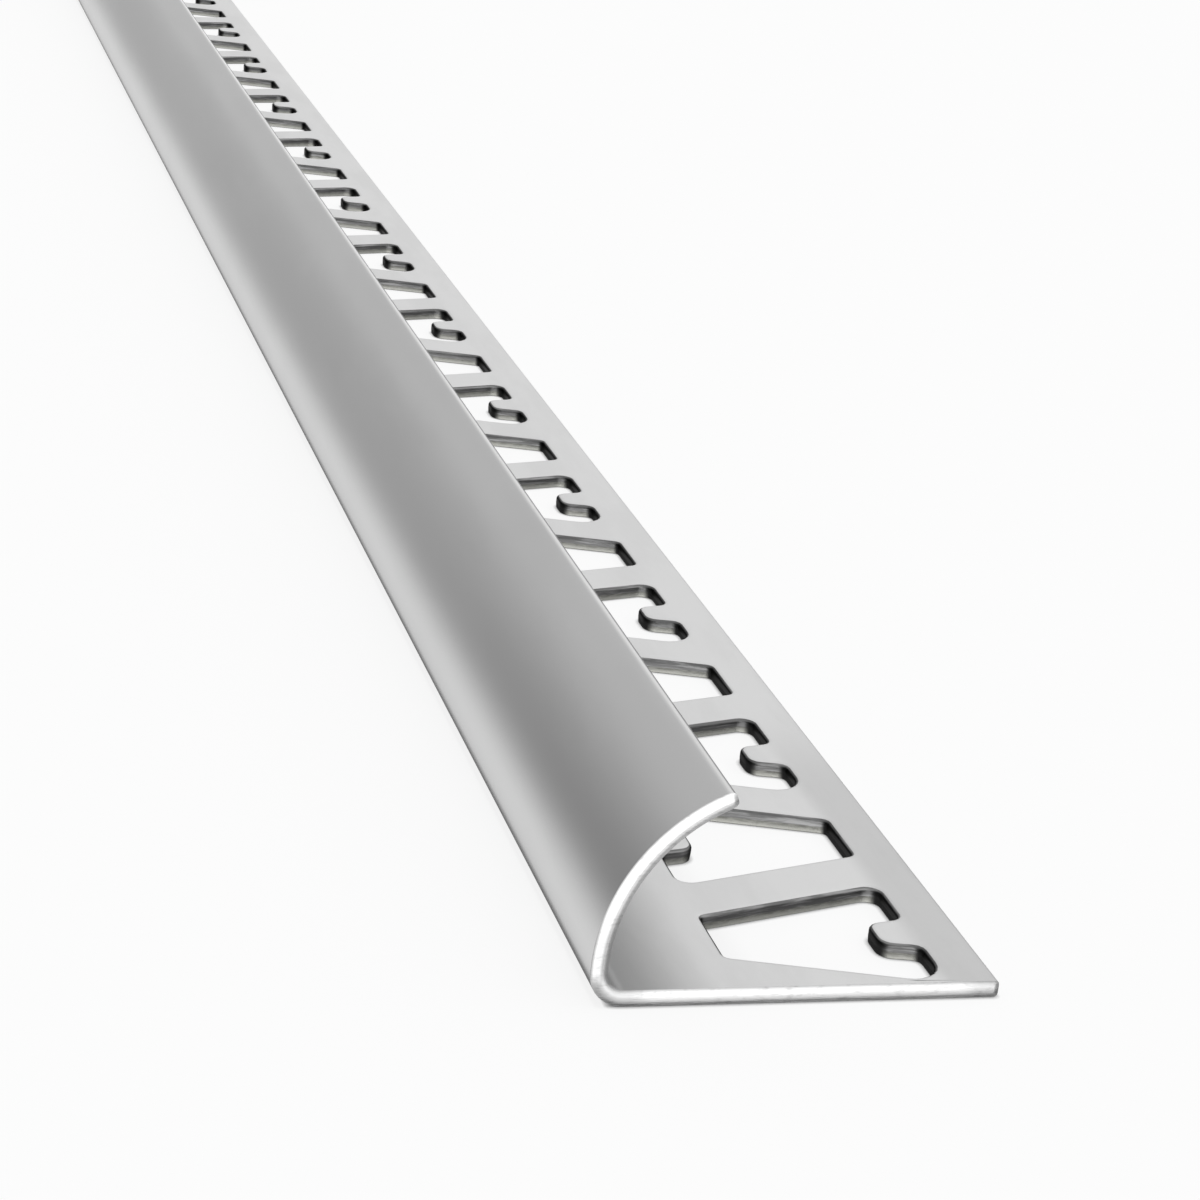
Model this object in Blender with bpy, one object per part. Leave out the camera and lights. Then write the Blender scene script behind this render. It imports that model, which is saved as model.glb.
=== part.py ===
"""Round-edge tile trim: one length of thin sheet, rolled and punched, ready to be tiled in.

The section runs the whole length: a flat anchoring leg, a tight bend at the toe, and a convex
arc that rises from the toe and leans over the leg to a free edge level with the tile's face.
The leg is punched with wedge-shaped anchoring holes, each turned half round from the last, with
a rounded tongue left standing in its wide side, so the strips between them run zigzag.

Metres, +Z up. The leg lies flat on Z = 0, the length runs along Y, +X points from the toe to
the leg's free edge, and the origin is under the middle of the whole length.
"""

import math

import bmesh
import bpy

# The stock: its length, and the section's overall width, height and sheet thickness.
LENGTH = 1.000
LEG_WIDTH = 0.0240
HEIGHT = 0.0127
SHEET = 0.0010

# The rolled section, measured on its outside: a bend at the toe, a short upright, and the arc,
# whose radius brings the free edge to the section's height.
TOE_RADIUS = 0.0018
UPRIGHT = 0.00065
ARC_SWEEP = math.radians(64.5)
ARC_RADIUS = SHEET / 2 + (HEIGHT - SHEET / 2 - TOE_RADIUS - UPRIGHT) / math.sin(ARC_SWEEP)

# The punched holes: between a plain band at the toe and a rail at the leg's free edge, each
# one a pitch after the last, with a slanted strip of this width along the leg between them.
PITCH = 0.0128
HOLE_FROM_TOE = 0.0089
OUTER_RAIL = 0.0031
STRIP = 0.00425
NARROW_WIDTH = 0.0050
NARROW_CORNER = 0.00045
LOOSE_CORNER = 0.0017
TIGHT_CORNER = 0.0008
HOLE_LENGTH = LEG_WIDTH - HOLE_FROM_TOE - OUTER_RAIL
WIDE_WIDTH = 2 * (PITCH - STRIP) - NARROW_WIDTH

# From the cut end to the first hole's wide side, before its corner is rounded.
END_MARGIN = 0.00025
FIRST_HOLE = END_MARGIN + WIDE_WIDTH / 2

# The tongue in each hole's wide side.
TONGUE_LENGTH = 0.0023
TONGUE_TIP = 0.0026
TONGUE_ROOT = 0.0036
TONGUE_CORNER = 0.0010
TONGUE_FILLET = 0.0006

# How far a punch runs past both faces of the leg, and how many holes lie between section lines.
PUNCH_OVERRUN = 0.0010
HOLES_PER_BAY = 6

# Straight pieces in each rounded stretch.
ARC_STEPS = 14
TOE_STEPS = 5
EDGE_STEPS = 6
NARROW_STEPS = 2
WIDE_STEPS = 4
TONGUE_STEPS = 3
FILLET_STEPS = 2

# The most of a side that the roundings at its two ends may take up together.
MOST_ROUNDED = 0.95

STEEL_COLOUR = (0.62, 0.62, 0.61, 1.0)
STEEL_ROUGHNESS = 0.32


def arc(centre, radius, start, end, steps):
    """Points on a circle from one angle to another, both ends included."""
    angles = [start + (end - start) * i / steps for i in range(steps + 1)]
    return [(centre[0] + radius * math.cos(a), centre[1] + radius * math.sin(a)) for a in angles]


def rounded(corners):
    """An outline from (x, y, radius, steps) corners, each rounded by an arc tangent to both its sides.
    Two arcs too large for the side between them both get smaller."""
    count = len(corners)
    headings = []
    sides = []
    for i, (x, y, _, _) in enumerate(corners):
        after = corners[(i + 1) % count]
        headings.append(math.atan2(after[1] - y, after[0] - x))
        sides.append(MOST_ROUNDED * math.hypot(after[0] - x, after[1] - y))
    turns = [(headings[i] - headings[i - 1] + math.pi) % (2 * math.pi) - math.pi for i in range(count)]
    cuts = [corner[2] * math.tan(abs(turn) / 2) for corner, turn in zip(corners, turns)]
    outline = []
    for i, (x, y, radius, steps) in enumerate(corners):
        behind = sides[i - 1] / (cuts[i - 1] + cuts[i])
        ahead = sides[i] / (cuts[i] + cuts[(i + 1) % count])
        fit = min(1, behind, ahead)
        heading = headings[i - 1]
        inward = heading + math.copysign(math.pi / 2, turns[i])
        centre = (
            x - fit * cuts[i] * math.cos(heading) + fit * radius * math.cos(inward),
            y - fit * cuts[i] * math.sin(heading) + fit * radius * math.sin(inward),
        )
        outline += arc(centre, fit * radius, inward + math.pi, inward + math.pi + turns[i], steps)
    return outline


def section_outline():
    """The section in X and Z, with the toe's outside face at X = 0, clockwise from the leg's free edge."""
    half = SHEET / 2
    toe = (TOE_RADIUS, TOE_RADIUS)
    crown = (ARC_RADIUS, TOE_RADIUS + UPRIGHT)
    last = math.pi - ARC_SWEEP
    lip = arc(crown, ARC_RADIUS - half, last, last, 1)[0]
    outline = arc((LEG_WIDTH - half, half), half, math.pi / 2, -math.pi / 2, EDGE_STEPS)
    outline += arc(toe, TOE_RADIUS, 1.5 * math.pi, math.pi, TOE_STEPS)
    outline += arc(crown, ARC_RADIUS, math.pi, last, ARC_STEPS)
    outline += arc(lip, half, last, last - math.pi, EDGE_STEPS)[1:-1]
    outline += arc(crown, ARC_RADIUS - SHEET, last, math.pi, ARC_STEPS)
    outline += arc(toe, TOE_RADIUS - SHEET, math.pi, 1.5 * math.pi, TOE_STEPS)
    return outline


def hole_outline():
    """One hole, from its narrow side at 0 to its wide side at HOLE_LENGTH, centred across. Its wide
    side has a loose corner and a tight one."""
    narrow, wide = NARROW_WIDTH / 2, WIDE_WIDTH / 2
    tip, root = TONGUE_TIP / 2, TONGUE_ROOT / 2
    tongue = HOLE_LENGTH - TONGUE_LENGTH
    return rounded(
        [
            (0, -narrow, NARROW_CORNER, NARROW_STEPS),
            (HOLE_LENGTH, -wide, LOOSE_CORNER, WIDE_STEPS),
            (HOLE_LENGTH, -root, TONGUE_FILLET, FILLET_STEPS),
            (tongue, -tip, TONGUE_CORNER, TONGUE_STEPS),
            (tongue, tip, TONGUE_CORNER, TONGUE_STEPS),
            (HOLE_LENGTH, root, TONGUE_FILLET, FILLET_STEPS),
            (HOLE_LENGTH, wide, TIGHT_CORNER, WIDE_STEPS),
            (0, narrow, NARROW_CORNER, NARROW_STEPS),
        ]
    )


def hole_count():
    """As many holes as the length holds with the first hole's margin kept at both ends."""
    return 1 + math.floor((LENGTH - 2 * FIRST_HOLE) / PITCH)


def prism(bm, points, along):
    """Extrudes a closed outline of 3-D points along a vector into a closed solid."""
    face = bm.faces.new([bm.verts.new(point) for point in points])
    swept = bmesh.ops.extrude_face_region(bm, geom=[face], use_keep_orig=True)["geom"]
    moved = [item for item in swept if isinstance(item, bmesh.types.BMVert)]
    bmesh.ops.translate(bm, verts=moved, vec=along)


def finished(bm, name):
    """Turns a bmesh into a named object in the scene, with its faces pointing out."""
    bmesh.ops.recalc_face_normals(bm, faces=bm.faces)
    mesh = bpy.data.meshes.new(name)
    bm.to_mesh(mesh)
    bm.free()
    made = bpy.data.objects.new(name, mesh)
    bpy.context.scene.collection.objects.link(made)
    return made


def rolled_strip():
    """The section extruded over the whole length, with a section line between bays of holes."""
    bm = bmesh.new()
    near = [(x - LEG_WIDTH / 2, -LENGTH / 2, z) for x, z in section_outline()]
    prism(bm, near, (0, LENGTH, 0))
    for bay in range(HOLES_PER_BAY, hole_count(), HOLES_PER_BAY):
        everything = bm.verts[:] + bm.edges[:] + bm.faces[:]
        line = (0, FIRST_HOLE + (bay - 0.5) * PITCH - LENGTH / 2, 0)
        bmesh.ops.bisect_plane(bm, geom=everything, dist=1e-6, plane_co=line, plane_no=(0, 1, 0))
    return finished(bm, "edge_trim")


def punches():
    """The slugs that the press knocks out of the leg, each turned half round from the last."""
    bm = bmesh.new()
    outline = hole_outline()
    for number in range(hole_count()):
        centre = FIRST_HOLE + number * PITCH - LENGTH / 2
        toe_side = HOLE_FROM_TOE - LEG_WIDTH / 2
        if number % 2 == 0:
            placed = [(toe_side + x, centre + y, -PUNCH_OVERRUN) for x, y in outline]
        else:
            placed = [(toe_side + HOLE_LENGTH - x, centre - y, -PUNCH_OVERRUN) for x, y in outline]
        prism(bm, placed, (0, 0, SHEET + 2 * PUNCH_OVERRUN))
    made = finished(bm, "punches")
    made.hide_render = True
    made.display_type = "WIRE"
    return made


def steel():
    """Satin stainless steel."""
    material = bpy.data.materials.new("satin_steel")
    material.use_nodes = True
    shader = material.node_tree.nodes["Principled BSDF"]
    shader.inputs["Base Color"].default_value = STEEL_COLOUR
    shader.inputs["Metallic"].default_value = 1.0
    shader.inputs["Roughness"].default_value = STEEL_ROUGHNESS
    return material


def build():
    for old in list(bpy.data.objects):
        bpy.data.objects.remove(old, do_unlink=True)
    trim = rolled_strip()
    punching = trim.modifiers.new("punched", "BOOLEAN")
    punching.operation = "DIFFERENCE"
    punching.solver = "EXACT"
    punching.object = punches()
    trim.data.materials.append(steel())


build()
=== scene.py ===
"""Looks of a length of round-edge tile trim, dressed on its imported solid.

One welded skin of thin stainless sheet stands for the rolled strip: the sheet's section carried along
the length, the leg's field of punched holes with their rolled-over edges and torn walls, and the two
sawn ends. It lies on a pale floor in soft light. Metres throughout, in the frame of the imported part:
the leg flat on Z = 0, the length along Y, and +X from the toe under the arc to the leg's free edge.
"""

import bmesh
import bpy
import numpy as np
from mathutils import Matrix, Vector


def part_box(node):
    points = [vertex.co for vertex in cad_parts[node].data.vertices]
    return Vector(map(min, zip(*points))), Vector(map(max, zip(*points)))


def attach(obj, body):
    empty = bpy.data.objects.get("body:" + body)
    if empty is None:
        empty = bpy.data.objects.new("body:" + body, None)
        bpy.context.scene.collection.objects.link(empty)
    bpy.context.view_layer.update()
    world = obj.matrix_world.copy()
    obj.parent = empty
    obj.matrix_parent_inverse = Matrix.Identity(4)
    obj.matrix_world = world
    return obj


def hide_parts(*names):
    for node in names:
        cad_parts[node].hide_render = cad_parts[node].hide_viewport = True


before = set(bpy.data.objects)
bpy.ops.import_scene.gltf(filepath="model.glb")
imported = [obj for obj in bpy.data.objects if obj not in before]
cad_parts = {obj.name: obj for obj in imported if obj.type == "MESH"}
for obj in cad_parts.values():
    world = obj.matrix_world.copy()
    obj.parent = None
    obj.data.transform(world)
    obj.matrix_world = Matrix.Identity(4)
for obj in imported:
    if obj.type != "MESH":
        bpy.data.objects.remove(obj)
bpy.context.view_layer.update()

# Where the solid lies: its toe and free edge in X, its two ends in Y, and its height.
low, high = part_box("edge_trim")
TOE_X, FREE_X = low.x, high.x
NEAR_Y, FAR_Y = low.y, high.y
HEIGHT = high.z - low.z

# The rolled section, measured on its outside.
SHEET = 0.0010
TOE_RADIUS = 0.0021
UPRIGHT = 0.00035
ARC_SWEEP = np.radians(64.5)
ARC_RADIUS = SHEET / 2 + (HEIGHT - SHEET / 2 - TOE_RADIUS - UPRIGHT) / np.sin(ARC_SWEEP)

# The punched holes.
PITCH = 0.0128
HOLE_FROM_TOE = 0.0089
OUTER_RAIL = 0.0031
STRIP = 0.00425
NARROW_WIDTH = 0.0050
NARROW_CORNER = 0.00045
LOOSE_CORNER = 0.0017
TIGHT_CORNER = 0.0008
HOLE_LENGTH = FREE_X - TOE_X - HOLE_FROM_TOE - OUTER_RAIL
WIDE_WIDTH = 2 * (PITCH - STRIP) - NARROW_WIDTH
END_MARGIN = 0.00025
FIRST_HOLE = END_MARGIN + WIDE_WIDTH / 2
TONGUE_LENGTH = 0.0023
TONGUE_TIP = 0.0026
TONGUE_ROOT = 0.0036
TONGUE_CORNER = 0.0010
TONGUE_FILLET = 0.0006

# What the punch does to the sheet: it rolls the top edge over, shears a smooth band, and tears the
# rest a little wider, down to a broken lower edge. FLAT_HOLD keeps the flat flat up to the roll.
ROLL_WIDTH = 0.00042
ROLL_DEPTH = 0.00025
SHEARED_DOWN_TO = 0.00044
TORN_WIDER = 0.00004
BROKEN_EDGE = 0.00003
FLAT_HOLD = 0.00007

# The curve of the leg's free edge and of the lip: 1 is a half round, and 0 would be sharp corners.
EDGE_CURVE = 0.45
LIP_CURVE = 0.75

# The sawn ends: the width of the plain band beside the cut, how far the cut's filed edges reach in from
# the sheet's faces and back from the cut, and the cut's own band that turns the file's slope flat.
END_BAND = 0.00025
FILED_WIDTH = 0.00026
FILED_DEPTH = 0.00008
FILED_EASE = 0.00005

# How far each hole's cell of sheet reaches past the hole at its narrow and wide sides.
CELL_MARGIN = 0.0009

# Pieces in each stretch of the skin.
EDGE_STEPS = 8
RAIL_STEPS = 1
LEG_STEPS = 4
TOE_STEPS = 10
ARC_STEPS = 36
ROLL_STEPS = 5
FILED_STEPS = 2
NARROW_STEPS = 3
WIDE_STEPS = 7
TONGUE_STEPS = 5
FILLET_STEPS = 3
LONGEST_STRAIGHT = 0.0022
STRIP_CELLS = 4

# Where the rails' stations lie along a cell's wide and narrow sides, as shares of the side. The wide
# side's middle one faces the tongue, and the next ones lie outside its root.
WIDE_STATIONS = np.array([0, 1 / 6, 1 / 2, 5 / 6])
NARROW_STATIONS = np.array([0, 1 / 2])

# The finishes, in the order of the skin's material slots: the sheet's brushed face, which is the arc's
# outside and the leg's underside, its mill-finished other face, and what the press and the saw leave.
BRUSHED, MILLED, SHEARED, TORN, SAWN = range(5)

# How close points are welded together, to how many digits of a metre stations are told apart, and the
# angle over which an edge of the skin is sharp.
WELD = 0.000002
STATION_DIGITS = 9
SHARP = np.radians(38)

# The leg's punched field, between its plain root and its rail.
FIELD_IN = TOE_X + HOLE_FROM_TOE - CELL_MARGIN
FIELD_OUT = FREE_X - OUTER_RAIL + CELL_MARGIN


def circle(angles):
    """Unit vectors at these angles."""
    return np.stack([np.cos(angles), np.sin(angles)], -1)


def sheet_path(inset=0.0):
    """The sheet's middle line across the section, as (middle, normal, half): points (x, z), unit
    normals that point to the outside face, and the half thickness. It runs from the leg's free edge
    along the leg, round the toe, up the upright and over the arc to the lip. The faces lie at
    middle + half * normal and middle - half * normal. At both free edges the half thickness is
    radius * sin(a) ** curve while the line goes radius * cos(a) ** curve past the full sheet, which
    makes a square edge with round corners.
    """
    radius = SHEET / 2 - inset
    centre = SHEET / 2
    turn = np.linspace(0, np.pi / 2, EDGE_STEPS + 1)
    cosine, sine = np.cos(turn).clip(0), np.sin(turn)
    edge_x = FREE_X - centre + radius * cosine**EDGE_CURVE
    rail_x = np.linspace(FREE_X - centre, FIELD_OUT, RAIL_STEPS + 1)
    field_x = np.linspace(FIELD_OUT, FIELD_IN, STRIP_CELLS + 1)
    leg_x = np.linspace(FIELD_IN, TOE_X + TOE_RADIUS, LEG_STEPS + 1)
    flat_x = np.concatenate([edge_x, rail_x[1:], field_x[1:], leg_x[1:]])
    bend = np.linspace(1.5 * np.pi, np.pi, TOE_STEPS + 1)[1:]
    sweep = np.linspace(np.pi, np.pi - ARC_SWEEP, ARC_STEPS + 1)
    way = np.concatenate([np.full(len(flat_x), 1.5 * np.pi), bend, sweep, np.full(EDGE_STEPS, sweep[-1])])
    normal = np.stack([np.cos(way), np.sin(way)], -1)

    crown = np.array([TOE_X + ARC_RADIUS, TOE_RADIUS + UPRIGHT])
    flat = np.stack([flat_x, np.full(len(flat_x), centre)], -1)
    toe = np.array([TOE_X + TOE_RADIUS, TOE_RADIUS]) + (TOE_RADIUS - centre) * circle(bend)
    arc = crown + (ARC_RADIUS - centre) * circle(sweep)
    forward = np.array([np.sin(sweep[-1]), -np.cos(sweep[-1])])
    lip = arc[-1] + radius * cosine[-2::-1, None] ** LIP_CURVE * forward
    middle = np.concatenate([flat, toe, arc, lip])

    half = np.full(len(middle), radius)
    half[: EDGE_STEPS + 1] = radius * sine**EDGE_CURVE
    half[-EDGE_STEPS:] = radius * sine[-2::-1] ** LIP_CURVE
    return middle, normal, half


def faces_of(inset=0.0):
    """The sheet's two faces as lines of (x, z) points, outside first, paired across the thickness."""
    middle, normal, half = sheet_path(inset)
    return middle + half[:, None] * normal, middle - half[:, None] * normal


def carried(profile, stations):
    """A profile carried along Y: its (x, z) points, or a row of them for each station, as a grid."""
    rows = np.broadcast_to(profile, (len(stations), *profile.shape[-2:]))
    along = np.broadcast_to(np.asarray(stations)[:, None], rows.shape[:2])
    return np.stack([rows[..., 0], along, rows[..., 1]], -1)


def cut_cells(numbers):
    """The two triangles of each cell of a grid, from the numbers of its points by rows and columns."""
    a, b, c, d = numbers[:-1, :-1], numbers[:-1, 1:], numbers[1:, 1:], numbers[1:, :-1]
    return np.stack([np.stack([a, b, c], -1), np.stack([a, c, d], -1)], axis=2).reshape(-1, 3)


def grid_patch(points, finish):
    """A grid of points, by rows and columns, with each cell cut into two triangles, as (points,
    triangles, finishes). The finish is one for the whole grid or one for each cell.
    """
    rows, columns = points.shape[:2]
    triangles = cut_cells(np.arange(rows * columns).reshape(rows, columns))
    finishes = np.repeat(np.broadcast_to(finish, (rows - 1, columns - 1)), 2)
    return points.reshape(-1, 3), triangles, finishes


def rounded(corners, radii, steps):
    """An outline's points and its normals, which point away from the hole. Each corner gets an arc
    tangent to both its sides: it starts radius * tan(turn / 2) before the corner, and its points lie
    at centre + radius * normal while the heading goes from one side's to the next one's.
    """
    side = corners - np.roll(corners, 1, axis=0)
    heading = np.arctan2(side[:, 1], side[:, 0])
    turn = (np.roll(heading, -1) - heading + np.pi) % (2 * np.pi) - np.pi
    reach = radii * np.tan(np.abs(turn) / 2)
    signed = radii * np.sign(turn)
    left = circle(heading + np.pi / 2)
    centre = corners - reach[:, None] * circle(heading) + signed[:, None] * left
    which = np.repeat(np.arange(len(corners)), steps + 1)
    share = np.concatenate([np.linspace(0, 1, count + 1) for count in steps])
    normal = circle(heading[which] + share * turn[which] - np.pi / 2)
    return centre[which] + signed[which, None] * normal, normal


def with_stops(points, normals):
    """The same closed outline with its long straight runs cut into even pieces, by interpolation."""
    after = np.roll(points, -1, axis=0)
    gaps = np.hypot(*(after - points).T)
    pieces = np.maximum(1, np.ceil(gaps / LONGEST_STRAIGHT)).astype(int)
    which = np.repeat(np.arange(len(points)), pieces)
    first = np.repeat(np.cumsum(pieces) - pieces, pieces)
    share = ((np.arange(pieces.sum()) - first) / pieces[which])[:, None]
    turned = np.roll(normals, -1, axis=0)[which]
    return (
        points[which] + share * (after[which] - points[which]),
        normals[which] + share * (turned - normals[which]),
    )


def hole_outline():
    """One hole's outline and normals: u from its narrow side at 0 to its wide side at HOLE_LENGTH,
    v along the length. A wedge with a loose and a tight corner at its wide side, and a tongue
    standing in between them.
    """
    narrow, wide = NARROW_WIDTH / 2, WIDE_WIDTH / 2
    tip, root = TONGUE_TIP / 2, TONGUE_ROOT / 2
    tongue = HOLE_LENGTH - TONGUE_LENGTH
    near_side = np.array([(0, -narrow), (HOLE_LENGTH, -wide), (HOLE_LENGTH, -root), (tongue, -tip)])
    corners = np.concatenate([near_side, near_side[::-1] * (1, -1)])
    radii = np.array([NARROW_CORNER, LOOSE_CORNER, TONGUE_FILLET, TONGUE_CORNER])
    radii = np.concatenate([radii, radii[::-1]])
    radii[-2] = TIGHT_CORNER
    steps = np.array([NARROW_STEPS, WIDE_STEPS, FILLET_STEPS, TONGUE_STEPS])
    outline = rounded(corners, radii, np.concatenate([steps, steps[::-1]]))
    return with_stops(*outline)


def punched_profile():
    """How the punch leaves the sheet's edge, from the top face to the underside, as (out, z, finish).
    out is the distance from the punch's outline into the metal. The roll is a quarter of an ellipse,
    out = width * (1 - sin a), z = top - depth * (1 - cos a), and its lower half is burnished by the
    punch; the sheared band drops straight down, and the torn band slopes outwards to the broken lower
    edge. finish belongs to the band below each row.
    """
    turn = np.linspace(0, np.pi / 2, ROLL_STEPS + 1)
    roll = np.stack([ROLL_WIDTH * (1 - np.sin(turn)), SHEET - ROLL_DEPTH * (1 - np.cos(turn))], -1)
    lower = [
        (0, SHEARED_DOWN_TO),
        (TORN_WIDER, BROKEN_EDGE),
        (TORN_WIDER + BROKEN_EDGE, 0),
        (TORN_WIDER + BROKEN_EDGE + FLAT_HOLD, 0),
    ]
    rows = np.concatenate([[(ROLL_WIDTH + FLAT_HOLD, SHEET)], roll, lower])
    half = ROLL_STEPS // 2
    finish = [MILLED] * (1 + half) + [SHEARED] * (ROLL_STEPS - half + 1) + [TORN, TORN, BRUSHED]
    return rows, np.array(finish)


def cell_ring():
    """The ring round one hole where its cell of sheet meets the next ones: a wedge whose slanted
    sides run down the middle of the strips, at half width = narrow / 2 + slope * u + strip / 2.
    """
    slope = (WIDE_WIDTH - NARROW_WIDTH) / 2 / HOLE_LENGTH
    ends = np.array([-CELL_MARGIN, HOLE_LENGTH + CELL_MARGIN])
    widths = NARROW_WIDTH / 2 + slope * ends + STRIP / 2
    near_side = np.stack([ends, -widths], -1)
    corners = np.concatenate([near_side, near_side[::-1] * (1, -1)])
    along = np.arange(STRIP_CELLS) / STRIP_CELLS
    stations = [along, WIDE_STATIONS, along, NARROW_STATIONS]
    sides = zip(corners, np.roll(corners, -1, axis=0), stations)
    return np.concatenate([start + share[:, None] * (stop - start) for start, stop, share in sides])


def zipped(inner, outer):
    """Triangles that close the strip between two rings with different numbers of points. Each edge of
    one ring is joined to the point of the other ring that lies at its middle's bearing, seen from the
    hole's middle. Outer points are numbered after the inner ones.
    """
    bearings = []
    for ring in (inner, outer):
        bearing = np.unwrap(np.arctan2(ring[:, 1], ring[:, 0] - HOLE_LENGTH / 2))
        bearing = np.append(bearing, bearing[0] + 2 * np.pi)
        bearings.append(np.maximum.accumulate((bearing[:-1] + bearing[1:]) / 2))
    inner_next = np.searchsorted(bearings[1], bearings[0])
    outer_next = np.searchsorted(bearings[0], bearings[1])
    i, j = np.arange(len(inner)), np.arange(len(outer))
    count = len(inner)
    on_inner = np.stack([i, (i + 1) % count, count + inner_next % len(outer)], -1)
    on_outer = np.stack([count + j, count + (j + 1) % len(outer), outer_next % count], -1)
    return np.concatenate([on_inner, on_outer])


def hole_centres():
    """Where the holes lie along Y: a pitch apart, with the first one's margin kept at both ends."""
    count = 1 + int((FAR_Y - NEAR_Y - 2 * FIRST_HOLE) / PITCH)
    return NEAR_Y + FIRST_HOLE + PITCH * np.arange(count)


def in_leg(ring):
    """A ring of (u, v) points placed at each hole in turn, as (x, y): every second one is turned half
    round, from (u, v) to (HOLE_LENGTH - u, -v).
    """
    centres = hole_centres()
    turned = (np.arange(len(centres)) % 2 == 1)[:, None]
    u = np.where(turned, HOLE_LENGTH - ring[:, 0], ring[:, 0])
    v = np.where(turned, -ring[:, 1], ring[:, 1])
    return np.stack([TOE_X + HOLE_FROM_TOE + u, centres[:, None] + v], -1)


def cells_in_leg():
    """The cell rings placed in the leg, with the first and the last cut square at the end bands. The
    last hole is a turned one, so the same side of its ring faces its end of the trim.
    """
    cells = in_leg(cell_ring())
    cells[0, : STRIP_CELLS + 1, 1] = NEAR_Y + END_BAND
    cells[-1, : STRIP_CELLS + 1, 1] = FAR_Y - END_BAND
    return cells


def punched_patch():
    """Every hole with its cell: the punched profile carried round the outline, each row of points at
    outline + out * normal, and a zipped strip from its first and last rows to the cell's ring.
    """
    outline, normal = hole_outline()
    rows, finish = punched_profile()
    cells = cells_in_leg()
    rings = np.stack([in_leg(outline + out * normal) for out, _ in rows], axis=1)
    holes, row_count, around = rings.shape[:3]
    walls = np.concatenate([rings, np.broadcast_to(rows[:, 1, None, None], (*rings.shape[:3], 1))], -1)
    top = np.concatenate([cells, np.full((*cells.shape[:2], 1), SHEET)], -1)
    bottom = np.concatenate([cells, np.zeros((*cells.shape[:2], 1))], -1)
    points = np.concatenate([walls.reshape(holes, -1, 3), top, bottom], axis=1)

    closed = np.arange(row_count * around).reshape(row_count, around)
    wall = cut_cells(np.concatenate([closed, closed[:, :1]], axis=1))
    wall_finish = np.repeat(finish, 2 * around)
    ring = cell_ring()
    last = (row_count - 1) * around
    upper = zipped(outline + rows[0, 0] * normal, ring)
    upper = np.where(upper >= around, upper + last, upper)
    lower = zipped(outline + rows[-1, 0] * normal, ring)
    lower = np.where(lower >= around, lower + last + len(ring), lower + last)
    one = np.concatenate([wall, upper, lower])
    one_finish = np.concatenate([wall_finish, np.full(len(upper), MILLED), np.full(len(lower), BRUSHED)])
    shift = (np.arange(holes) * points.shape[1])[:, None, None]
    return points.reshape(-1, 3), (one + shift).reshape(-1, 3), np.tile(one_finish, holes)


def swept_patches():
    """The plain stretches on both sides of the holes, the rail with the leg's free edge and the leg's
    root with the toe and the arc, each as its section carried past the stations of the cells.
    """
    outside, inside = faces_of()
    rail_end = EDGE_STEPS + RAIL_STEPS
    field_end = rail_end + STRIP_CELLS
    cells = cells_in_leg()
    patches = []
    for line, part in ((FIELD_OUT, slice(0, rail_end + 1)), (FIELD_IN, slice(field_end, None))):
        beside = np.abs(cells[..., 0] - line) < WELD
        stations = np.unique(np.round(cells[beside][:, 1], STATION_DIGITS))
        patches.append(grid_patch(carried(outside[part], stations), BRUSHED))
        patches.append(grid_patch(carried(inside[part], stations), MILLED))
    return patches


def end_patches(end, inward):
    """A sawn end: the whole section carried from the plain band to the cut, whose edges are filed back,
    y = depth * (1 - inset / width), and the flat middle of the cut.
    """
    filed = np.linspace(0, FILED_WIDTH, FILED_STEPS + 1)
    insets = np.concatenate([[0], filed, [FILED_WIDTH + FILED_EASE]])
    back = np.concatenate([[END_BAND], FILED_DEPTH * (1 - filed / FILED_WIDTH), [0]])
    loops = []
    for inset in insets:
        outside, inside = faces_of(inset)
        loops.append(np.concatenate([outside, inside[::-1]]))
    finish = np.full((len(loops) - 1, len(loops[0]) - 1), SAWN)
    finish[0] = np.where(np.arange(finish.shape[1]) < len(outside), BRUSHED, MILLED)
    rim = grid_patch(carried(np.stack(loops), end + inward * back), finish)
    face = np.stack([outside, inside])
    flat = np.stack([face[..., 0], np.full(face.shape[:2], end), face[..., 1]], -1)
    return [rim, grid_patch(flat, SAWN)]


def skin_mesh(patches, name):
    """One mesh of all patches, with the points that meet welded and the faces turned outwards."""
    points = np.concatenate([patch[0] for patch in patches])
    first = np.cumsum([0] + [len(patch[0]) for patch in patches[:-1]])
    triangles = np.concatenate([patch[1] + start for patch, start in zip(patches, first)])
    finishes = np.concatenate([patch[2] for patch in patches])
    mesh = bpy.data.meshes.new(name)
    mesh.vertices.add(len(points))
    mesh.vertices.foreach_set("co", points.ravel().astype(np.float32))
    mesh.loops.add(triangles.size)
    mesh.loops.foreach_set("vertex_index", triangles.ravel().astype(np.int32))
    mesh.polygons.add(len(triangles))
    mesh.polygons.foreach_set("loop_start", np.arange(0, triangles.size, 3, dtype=np.int32))
    mesh.polygons.foreach_set("material_index", finishes.astype(np.int32))
    mesh.update(calc_edges=True)

    bm = bmesh.new()
    bm.from_mesh(mesh)
    bmesh.ops.remove_doubles(bm, verts=bm.verts, dist=WELD)
    bmesh.ops.recalc_face_normals(bm, faces=bm.faces)
    bm.to_mesh(mesh)
    bm.free()
    mesh.shade_smooth()
    mesh.set_sharp_from_angle(angle=SHARP)
    return mesh


def joined(tree, kind, settings, inputs):
    """A new node with these settings, its inputs set to values or linked to the sockets given."""
    node = tree.nodes.new(kind)
    for name, value in settings.items():
        setattr(node, name, value)
    for name, value in inputs.items():
        if isinstance(value, bpy.types.NodeSocket):
            tree.links.new(value, node.inputs[name])
        else:
            node.inputs[name].default_value = value
    return node


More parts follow.
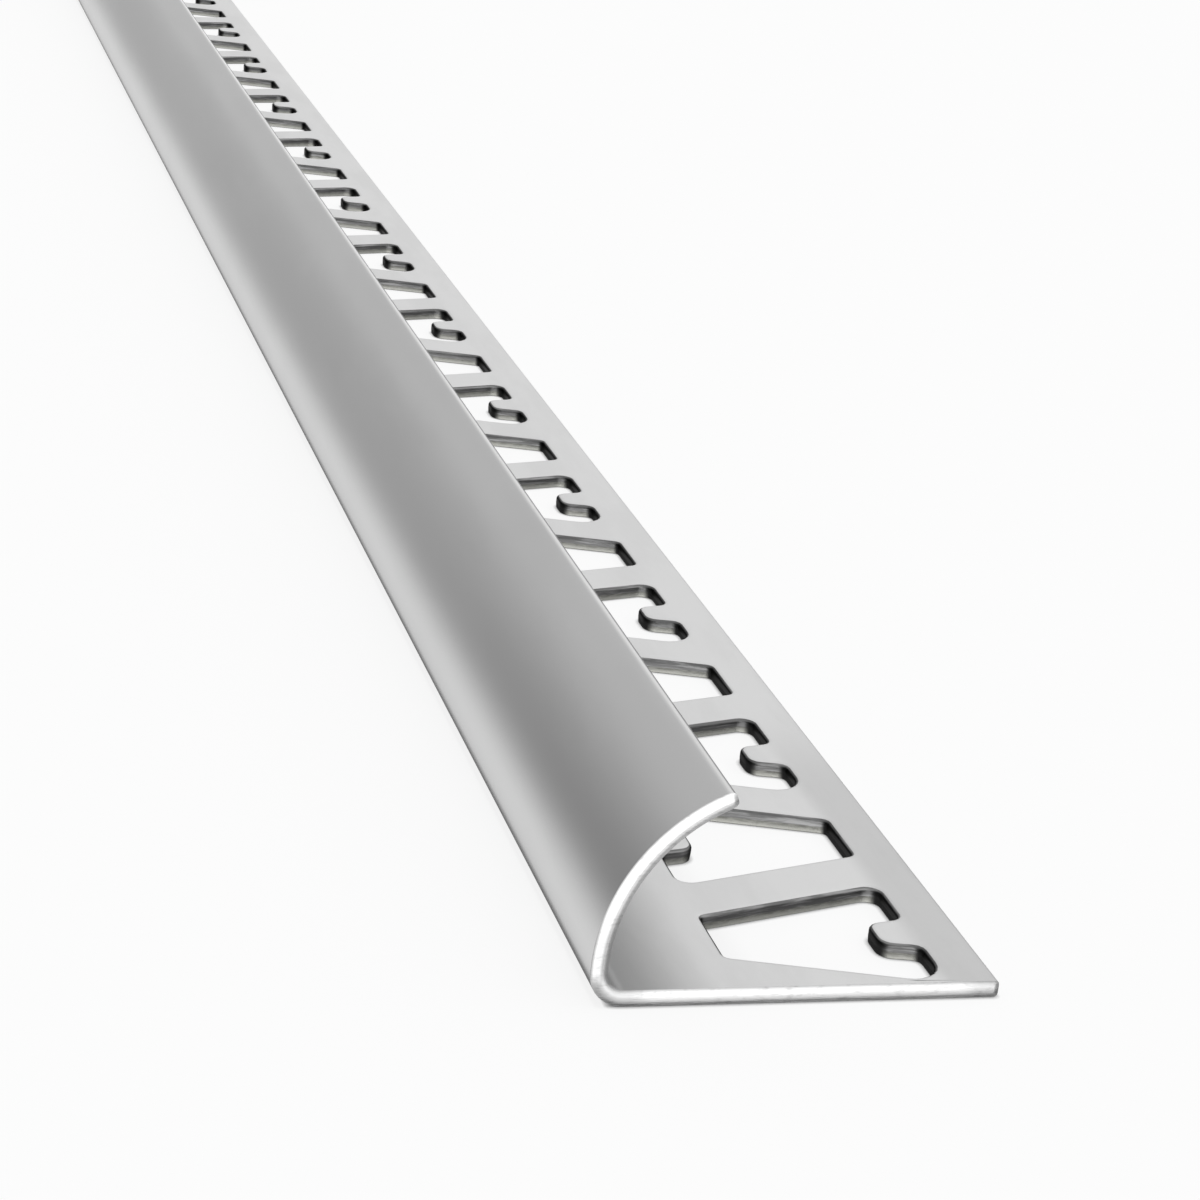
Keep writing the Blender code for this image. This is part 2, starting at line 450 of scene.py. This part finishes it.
def calculated(tree, operation, first, second=0.0, third=0.0):
    """One step of arithmetic in a shader: the operation on values or sockets, as a socket."""
    inputs = {0: first, 1: second, 2: third}
    return joined(tree, "ShaderNodeMath", {"operation": operation}, inputs).outputs[0]


def ranged(tree, value, start, end, low=0.0, high=1.0):
    """A value's way from start to end, eased by s * s * (3 - 2 * s) and stretched to the way from low to
    high, as a socket.
    """
    inputs = {"Value": value, "From Min": start, "From Max": end, "To Min": low, "To Max": high}
    return joined(tree, "ShaderNodeMapRange", {"interpolation_type": "SMOOTHSTEP"}, inputs).outputs[0]


def mixed(tree, share, first, second):
    """Two colours or colour sockets mixed by a share, as a socket."""
    return joined(tree, "ShaderNodeMix", {"data_type": "RGBA"}, {0: share, 6: first, 7: second}).outputs[2]


def multiplied(tree, first, second):
    """One colour times another, or times a value, as a socket."""
    settings = {"data_type": "RGBA", "blend_type": "MULTIPLY"}
    return joined(tree, "ShaderNodeMix", settings, {0: 1.0, 6: first, 7: second}).outputs[2]


def shade_ramp(tree, place, stops):
    """A ramp of greys over a place between 0 and 1, from (place, shade) stops, as a socket."""
    ramp = joined(tree, "ShaderNodeValToRGB", {}, {"Fac": place})
    elements = ramp.color_ramp.elements
    for index, (position, shade) in enumerate(stops):
        element = elements[index] if index < 2 else elements.new(position)
        element.position = position
        element.color = grey(shade)
    return ramp.outputs[0]


def own_place(tree):
    """Where a point lies on the trim, as a socket."""
    return joined(tree, "ShaderNodeTexCoord", {}, {}).outputs["Object"]


def parts_of(tree, vector):
    """The X, Y and Z of a vector, as sockets."""
    return joined(tree, "ShaderNodeSeparateXYZ", {}, {0: vector}).outputs


def grey(level):
    """A neutral grey colour."""
    return (level, level, level, 1)


# The noise behind every steel: how rough it is, and how many octaves its grain and its patches have.
NOISE_ROUGHNESS = 0.6
GRAIN_DETAIL = 4.0
PATCH_DETAIL = 5.0

# How far the noise goes past a patch's level, to either side, from bare to full.
PATCH_EDGE = 0.1


def noise_group(name, setting, output, detail, finish):
    """A shader node group that puts out a mask from noise. The noise is taken at Place divided by Size,
    its width, depth and height, and finish turns it and the group's own setting into the mask.
    """
    group = bpy.data.node_groups.new(name, "ShaderNodeTree")
    for label, kind in (("Place", "Vector"), ("Size", "Vector"), (setting, "Float")):
        group.interface.new_socket(label, in_out="INPUT", socket_type="NodeSocket" + kind)
    group.interface.new_socket(output, in_out="OUTPUT", socket_type="NodeSocketFloat")
    start = group.nodes.new("NodeGroupInput").outputs
    spread = joined(group, "ShaderNodeVectorMath", {"operation": "DIVIDE"}, {0: start[0], 1: start[1]})
    settings = {"Vector": spread.outputs[0], "Scale": 1.0, "Detail": detail, "Roughness": NOISE_ROUGHNESS}
    noise = joined(group, "ShaderNodeTexNoise", {}, settings).outputs["Fac"]
    end = group.nodes.new("NodeGroupOutput")
    group.links.new(finish(group, noise, start[setting]), end.inputs[output])
    return group


def grain_lines(group, noise, contrast):
    """Grain: how far the noise is over its middle, times the contrast."""
    return calculated(group, "MULTIPLY", calculated(group, "SUBTRACT", noise, 0.5), contrast)


def patches_over(group, noise, level):
    """Patches: soft-edged places where the noise is over the level."""
    bare = calculated(group, "SUBTRACT", level, PATCH_EDGE)
    full = calculated(group, "ADD", level, PATCH_EDGE)
    return ranged(group, noise, bare, full)


def steel(name, groups, colours, roughness, grain, contrast, patch, level, bump):
    """A steel: patches mix its two colours, and grain takes its roughness from the first one given to
    the second and raises its surface, by the bump's metres where the grain is 1.
    """
    material = bpy.data.materials.new(name)
    material.use_nodes = True
    tree = material.node_tree
    shader = tree.nodes["Principled BSDF"]
    shader.inputs["Metallic"].default_value = 1.0
    place = own_place(tree)
    inputs = {"Place": place, "Size": grain, "Contrast": contrast}
    lines = joined(tree, "ShaderNodeGroup", {"node_tree": groups["grain"]}, inputs).outputs[0]
    inputs = {"Place": place, "Size": patch, "Level": level}
    patches = joined(tree, "ShaderNodeGroup", {"node_tree": groups["patches"]}, inputs).outputs[0]
    colour = mixed(tree, patches, *colours)
    tree.links.new(colour, shader.inputs["Base Color"])
    tree.links.new(ranged(tree, lines, 0, 1, *roughness), shader.inputs["Roughness"])
    raised = joined(tree, "ShaderNodeBump", {}, {"Height": lines, "Distance": bump, "Strength": 1.0})
    tree.links.new(raised.outputs[0], shader.inputs["Normal"])
    return material


def toned(tree, share, colour):
    """Mixes the steel's own colour with another one, by the share of that."""
    base = tree.nodes["Principled BSDF"].inputs["Base Color"]
    tree.links.new(mixed(tree, share, base.links[0].from_socket, colour), base)


def darkened_by(tree, kept):
    """Leaves only a share of the steel's own colour, for painted shade and for darker places."""
    base = tree.nodes["Principled BSDF"].inputs["Base Color"]
    tree.links.new(multiplied(tree, base.links[0].from_socket, kept), base)


# How much further the brushed face scatters across its lines than along them.
BRUSHED_ANISOTROPY = 0.61


def brushed_steel(groups):
    """The sheet's show face, brushed along the length. Its tangent is the cross product of the length
    and the normal, so it lies across the lines.
    """
    made = steel(
        "brushed_steel",
        groups,
        colours=(grey(0.61), grey(0.59)),
        roughness=(0.24, 0.28),
        grain=(0.00009, 0.012, 0.00009),
        contrast=1.6,
        patch=(0.006, 0.03, 0.006),
        level=0.5,
        bump=0.00000025,
    )
    tree = made.node_tree
    shader = tree.nodes["Principled BSDF"]
    shader.inputs["Anisotropic"].default_value = BRUSHED_ANISOTROPY
    normal = joined(tree, "ShaderNodeNewGeometry", {}, {}).outputs["Normal"]
    cross = {"operation": "CROSS_PRODUCT"}
    across = joined(tree, "ShaderNodeVectorMath", cross, {0: (0, 1, 0), 1: normal}).outputs[0]
    tree.links.new(across, shader.inputs["Tangent"])
    return made


# Painted shade darkens the mill finish in the bend's hollow under the arc, and the near corner of the rail
# is darker: where that starts and ends, from the toe and from the near end, and the shares of its colour
# that are left.
HOLLOW_FROM, HOLLOW_TO = 0.0018, 0.0080
HOLLOW_SHADE_LEFT = 0.58
CORNER_FROM, CORNER_TO = 0.0200, 0.0215
CORNER_END_FROM, CORNER_END_TO = 0.026, 0.040
CORNER_LEFT = 0.85


def milled_steel(groups):
    """The sheet's other face, dull as it left the mill, darkened by painted shade in the hollow of the
    bend under the arc, and darker on the rail's near corner.
    """
    made = steel(
        "milled_steel",
        groups,
        colours=(grey(0.68), grey(0.65)),
        roughness=(0.47, 0.53),
        grain=(0.0002, 0.0012, 0.0002),
        contrast=1.6,
        patch=(0.004, 0.016, 0.004),
        level=0.5,
        bump=0.0000008,
    )
    tree = made.node_tree
    parts = parts_of(tree, own_place(tree))
    # Painted shade: the hollow under the arc is darker towards the toe.
    hollow = ranged(tree, parts["X"], TOE_X + HOLLOW_FROM, TOE_X + HOLLOW_TO, HOLLOW_SHADE_LEFT, 1)
    rail = ranged(tree, parts["X"], TOE_X + CORNER_FROM, TOE_X + CORNER_TO, 0, 1 - CORNER_LEFT)
    near = ranged(tree, parts["Y"], NEAR_Y + CORNER_END_FROM, NEAR_Y + CORNER_END_TO)
    corner = calculated(tree, "MULTIPLY", rail, calculated(tree, "SUBTRACT", 1.0, near))
    darkened_by(tree, calculated(tree, "SUBTRACT", hollow, corner))
    return made


# Painted shade on the walls of the holes that run along the length: its grey, and how far their normals
# turn to X where it starts and where it is full. GLANCING holds down the shine of all walls seen along
# their face.
ALONG_SHADE = 0.03
ALONG_FROM, ALONG_FULL = 0.35, 0.85
GLANCING = 0.52

# The torn band is dark where the shear ends, partly as painted shade of the shadowed hole, with darker
# patches, and lighter at its lower edge with painted light from the floor below. Its blue is held back
# for the trace of olive.
TORN_DARK, TORN_DARKEST, TORN_FLOOR_LIT = 0.25, 0.15, 0.48
OLIVE_BLUE = 0.93


def olive(level):
    """A grey with a trace of olive, the tint of torn steel."""
    return (level, level, OLIVE_BLUE * level, 1)


def shade_painted_along(tree):
    """Paints shade on the walls that run along the length, by how far their normals turn to X, and holds
    down the glancing shine.
    """
    tree.nodes["Principled BSDF"].inputs["Specular Tint"].default_value = grey(GLANCING)
    facing = joined(tree, "ShaderNodeTexCoord", {}, {}).outputs["Normal"]
    sideways = calculated(tree, "ABSOLUTE", parts_of(tree, facing)["X"])
    # Painted shade, by which way the wall faces.
    toned(tree, ranged(tree, sideways, ALONG_FROM, ALONG_FULL), grey(ALONG_SHADE))


def sheared_steel(groups):
    """The band that the punch shears, drawn into streaks along the wall, and dark, partly as painted shade
    of the shadowed hole that it mirrors. Walls that run along the length get painted shade, nearly black.
    """
    made = steel(
        "sheared_steel",
        groups,
        # Dark greys, partly painted shade of the shadowed hole that the wall mirrors.
        colours=(grey(0.15), grey(0.31)),
        roughness=(0.32, 0.44),
        grain=(0.0018, 0.0018, 0.00012),
        contrast=2.0,
        patch=(0.0030, 0.0030, 0.00020),
        level=0.56,
        bump=0.000008,
    )
    shade_painted_along(made.node_tree)
    return made


def torn_steel(groups):
    """The band under the sheared one, where the slug tore away: matt, with a trace of olive, and lighter
    downwards with painted light from the floor below.
    """
    made = steel(
        "torn_steel",
        groups,
        colours=(olive(TORN_DARK), olive(TORN_DARKEST)),
        roughness=(0.45, 0.65),
        grain=(0.00012, 0.00012, 0.0001),
        contrast=2.2,
        patch=(0.0007, 0.0007, 0.00015),
        level=0.5,
        bump=0.000015,
    )
    tree = made.node_tree
    height = parts_of(tree, own_place(tree))["Z"]
    # Painted light from the floor: the band is lighter towards its lower edge.
    toned(tree, ranged(tree, height, SHEARED_DOWN_TO, 0.0), olive(TORN_FLOOR_LIT))
    shade_painted_along(tree)
    return made


# The cut's painted light and shade across the sheet, on the arc and on the leg, with a painted dark
# reflection near the leg's underside: (depth, shade) stops, with the depth from the outside face as a
# share of the sheet. OVER_LEG says at what height the one gives way to the other.
ARC_CUT_LIGHTING = [(0.0, 0.30), (0.06, 0.55), (0.17, 1.0), (0.50, 1.0), (0.64, 0.55), (0.92, 0.66), (1.0, 0.60)]
LEG_CUT_LIGHTING = [(0.0, 0.44), (0.18, 0.42), (0.32, 0.46), (0.50, 0.70), (0.62, 0.90), (0.84, 0.84), (1.0, 0.42)]
OVER_LEG_FROM, OVER_LEG_FULL = 0.0012, 0.0022

# The cut is darker at the foot of the arc and at the leg's free edge: the shares that are lost, the
# heights and the distances from the toe between which the first sets in, and those of the second.
TOE_DARKENING, TIP_DARKENING = 0.26, 0.22
TOE_HIGH_FROM, TOE_HIGH_FULL = 0.0062, 0.0040
TOE_OUT_FROM, TOE_OUT_FULL = 0.0040, 0.0022
TIP_OUT_FROM, TIP_OUT_FULL = 0.0215, 0.0230


def cut_depth(tree, parts, axis_x, axis_z, radius):
    """How deep a point of the cut lies under the outside face, as a share of the sheet and a socket:
    (radius - distance to the bend's axis) / sheet. Past the axis in X only the height counts, as on the
    flat that follows the bend.
    """
    across = calculated(tree, "MAXIMUM", calculated(tree, "SUBTRACT", axis_x, parts["X"]), 0.0)
    down = calculated(tree, "SUBTRACT", axis_z, parts["Z"])
    squares = calculated(tree, "MULTIPLY_ADD", across, across, calculated(tree, "MULTIPLY", down, down))
    depth = calculated(tree, "SUBTRACT", radius, calculated(tree, "SQRT", squares))
    return calculated(tree, "DIVIDE", depth, SHEET)


def sawn_steel(groups):
    """The sawn and filed ends: bright in the middle of the sheet by painted light, with a fine mottle and
    the saw's lines. The painted shade goes by the depth in the arc, and low down by the depth in the toe's
    bend and leg.
    """
    made = steel(
        "sawn_steel",
        groups,
        colours=(grey(1.0), grey(0.78)),
        roughness=(0.30, 0.40),
        grain=(0.0011, 0.0011, 0.00007),
        contrast=2.2,
        patch=(0.0008, 0.0008, 0.00030),
        level=0.60,
        bump=0.000008,
    )
    tree = made.node_tree
    parts = parts_of(tree, own_place(tree))
    arc_depth = cut_depth(tree, parts, TOE_X + ARC_RADIUS, TOE_RADIUS + UPRIGHT, ARC_RADIUS)
    leg_depth = cut_depth(tree, parts, TOE_X + TOE_RADIUS, TOE_RADIUS, TOE_RADIUS)
    on_arc = ranged(tree, parts["Z"], OVER_LEG_FROM, OVER_LEG_FULL)
    # Painted light and shade across the cut, by its depth under the outside face.
    shade = mixed(tree, on_arc, shade_ramp(tree, leg_depth, LEG_CUT_LIGHTING), shade_ramp(tree, arc_depth, ARC_CUT_LIGHTING))
    low_part = ranged(tree, parts["Z"], TOE_HIGH_FROM, TOE_HIGH_FULL)
    left_part = ranged(tree, parts["X"], TOE_X + TOE_OUT_FROM, TOE_X + TOE_OUT_FULL)
    toe = calculated(tree, "MULTIPLY", calculated(tree, "MULTIPLY", low_part, left_part), TOE_DARKENING)
    tip = ranged(tree, parts["X"], TOE_X + TIP_OUT_FROM, TOE_X + TIP_OUT_FULL, 0.0, TIP_DARKENING)
    darkened_by(tree, shade)
    darkened_by(tree, calculated(tree, "SUBTRACT", 1.0, calculated(tree, "MAXIMUM", toe, tip)))
    return made


def rolled_trim():
    """The skin of the whole trim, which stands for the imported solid."""
    patches = [punched_patch(), *swept_patches(), *end_patches(NEAR_Y, 1), *end_patches(FAR_Y, -1)]
    trim = bpy.data.objects.new("rolled_trim", skin_mesh(patches, "rolled_trim"))
    bpy.context.scene.collection.objects.link(trim)
    groups = {
        "grain": noise_group("grain", "Contrast", "Lines", GRAIN_DETAIL, grain_lines),
        "patches": noise_group("patches", "Level", "Mask", PATCH_DETAIL, patches_over),
    }
    for finish in (brushed_steel, milled_steel, sheared_steel, torn_steel, sawn_steel):
        trim.data.materials.append(finish(groups))
    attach(trim, "root")
    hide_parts("edge_trim")


# The floor: how far it reaches, how far it lies under the leg, its grey and roughness under the light, and
# its own glow, as on a light table. CONTACT is how far out the shadow where the trim touches it goes.
FLOOR_REACH = 6.0
FLOOR_DROP = 0.00002
FLOOR_GREY = 0.12
FLOOR_ROUGHNESS = 0.9
FLOOR_GLOW = 0.83
CONTACT = 0.0003
CONTACT_SAMPLES = 4


def floor():
    """A plain pale floor, a hair under the leg's underside. It glows by its full glow times the share of
    the sky over it that is open out to the contact distance. The steel doesn't mirror the floor.
    """
    mesh = bpy.data.meshes.new("floor")
    corners = FLOOR_REACH * np.array([(-1, -1), (1, -1), (1, 1), (-1, 1)])
    mesh.from_pydata([(x, y, -FLOOR_DROP) for x, y in corners], [], [(0, 1, 2, 3)])
    made = bpy.data.objects.new("floor", mesh)
    bpy.context.scene.collection.objects.link(made)
    material = bpy.data.materials.new("pale_floor")
    material.use_nodes = True
    tree = material.node_tree
    shader = tree.nodes["Principled BSDF"]
    shader.inputs["Base Color"].default_value = grey(FLOOR_GREY)
    shader.inputs["Roughness"].default_value = FLOOR_ROUGHNESS
    shader.inputs["Specular IOR Level"].default_value = 0.0
    shader.inputs["Emission Color"].default_value = grey(1)
    settings = {"samples": CONTACT_SAMPLES}
    occlusion = joined(tree, "ShaderNodeAmbientOcclusion", settings, {"Distance": CONTACT})
    glow = calculated(tree, "MULTIPLY", occlusion.outputs["AO"], FLOOR_GLOW)
    tree.links.new(glow, shader.inputs["Emission Strength"])
    mesh.materials.append(material)
    made.visible_glossy = False


# What the steel mirrors, as (angle round the length, brightness) stops: 0 is level to the left, 90
# overhead, 180 level to the right, and -90 straight down. One ramp holds beside the trim and behind
# the camera, the other ahead along the length, where the dark panel on the left ends. Both share what
# lies below and to the right.
BELOW = [(-90, 0.10), (-74, 0.24)]
RIGHT = [
    (148, 1.15),
    (164, 0.45),
    (178, 0.25),
    (200, 0.24),
    (216, 0.36),
    (230, 0.75),
    (246, 0.30),
    (256, 0.20),
    (270, 0.10),
]
BESIDE = [
    *BELOW,
    (-63, 1.00),
    (-42, 1.12),
    (-32, 0.87),
    (-24, 0.53),
    (-16, 0.21),
    (-6, 0.09),
    (12, 0.20),
    (28, 0.39),
    (42, 0.70),
    (56, 0.72),
    (78, 0.76),
    (92, 1.00),
    *RIGHT,
]
AHEAD = [
    *BELOW,
    (-63, 0.86),
    (-42, 0.97),
    (-32, 0.83),
    (-24, 0.60),
    (-14, 0.52),
    (28, 0.56),
    (42, 0.58),
    (56, 0.70),
    (80, 0.60),
    (96, 0.90),
    (112, 1.15),
    *RIGHT,
]

# The world's strength. A ramp's colours stop at 1, so they hold brightness as a share of this.
BRIGHTEST = 1.6

# How far along Y a direction goes where the second ramp starts and where it is full.
AHEAD_FROM, AHEAD_FULL = 0.75, 0.98

# A panel low behind the camera: its brightness, the way to its middle, and the cosines from that way
# where its soft edge starts and ends.
FRONT_PANEL = 1.6
FRONT_WAY = (-0.10, -0.96, -0.26)
FRONT_FROM, FRONT_FULL = 0.66, 0.86

# What the camera sees behind everything.
BACKDROP = 0.98


def ramp_round(tree, turn, stops):
    """A ramp of brightness over a share of the whole turn from the first stop's angle to the last's."""
    first, last = stops[0][0], stops[-1][0]
    shares = [((angle - first) / (last - first), brightness / BRIGHTEST) for angle, brightness in stops]
    return shade_ramp(tree, turn, shares)


def surroundings():
    """Soft panels all round the trim, which the steel mirrors. The camera sees a plain pale backdrop.
    A direction's place on the ramps is atan2(x, z) / (2 * pi) + 1 / 2, from straight down over the left,
    the top and the right to straight down again.
    """
    world = bpy.data.worlds.new("studio")
    bpy.context.scene.world = world
    world.use_nodes = True
    tree = world.node_tree
    way = joined(tree, "ShaderNodeTexCoord", {}, {}).outputs["Generated"]
    parts = parts_of(tree, way)
    turn = calculated(tree, "ARCTAN2", parts["X"], parts["Z"])
    turn = calculated(tree, "ADD", calculated(tree, "DIVIDE", turn, 2 * np.pi), 0.5)
    ahead = ranged(tree, parts["Y"], AHEAD_FROM, AHEAD_FULL)
    sides = mixed(tree, ahead, ramp_round(tree, turn, BESIDE), ramp_round(tree, turn, AHEAD))
    towards = joined(tree, "ShaderNodeVectorMath", {"operation": "DOT_PRODUCT"}, {0: way, 1: FRONT_WAY})
    front = ranged(tree, towards.outputs["Value"], FRONT_FROM, FRONT_FULL)
    mirrored = mixed(tree, front, sides, grey(FRONT_PANEL / BRIGHTEST))
    seen = joined(tree, "ShaderNodeLightPath", {}, {}).outputs["Is Camera Ray"]
    shown = mixed(tree, seen, mirrored, grey(BACKDROP / BRIGHTEST))
    tree.links.new(shown, tree.nodes["Background"].inputs["Color"])
    tree.nodes["Background"].inputs["Strength"].default_value = BRIGHTEST


# The light on the floor: its strength, its lean to the left and how wide it looks.
OVERHEAD = 1.1
OVERHEAD_LEAN = np.radians(15)
OVERHEAD_WIDTH = np.radians(8)


def overhead_light():
    """A soft light from overhead and a little from the left, for the floor alone: the steel mirrors the
    panels instead.
    """
    light = bpy.data.lights.new("overhead", "SUN")
    light.energy = OVERHEAD
    light.angle = OVERHEAD_WIDTH
    lamp = bpy.data.objects.new("overhead", light)
    lamp.rotation_euler.y = -OVERHEAD_LEAN
    lamp.visible_glossy = False
    bpy.context.scene.collection.objects.link(lamp)


# The camera, fitted to the photograph: its place, its turn in degrees, and its lens and film in
# millimetres. CLIP is the nearest and the farthest that it sees.
CAMERA_AT = (-0.05526, -0.63857, 0.07598)
CAMERA_TURN = (69.988, -6.051, -14.450)
LENS = 90
FILM = 36
CLIP = (0.01, 50)


def camera():
    """The photograph's view: close to the near end, low, and looking along the trim."""
    lens = bpy.data.cameras.new("camera")
    lens.lens = LENS
    lens.sensor_width = FILM
    lens.clip_start, lens.clip_end = CLIP
    made = bpy.data.objects.new("camera", lens)
    made.location = CAMERA_AT
    made.rotation_euler = np.radians(CAMERA_TURN)
    bpy.context.scene.collection.objects.link(made)
    bpy.context.scene.camera = made


camera()
rolled_trim()
floor()
surroundings()
overhead_light()
bpy.context.scene.view_settings.view_transform = "Standard"
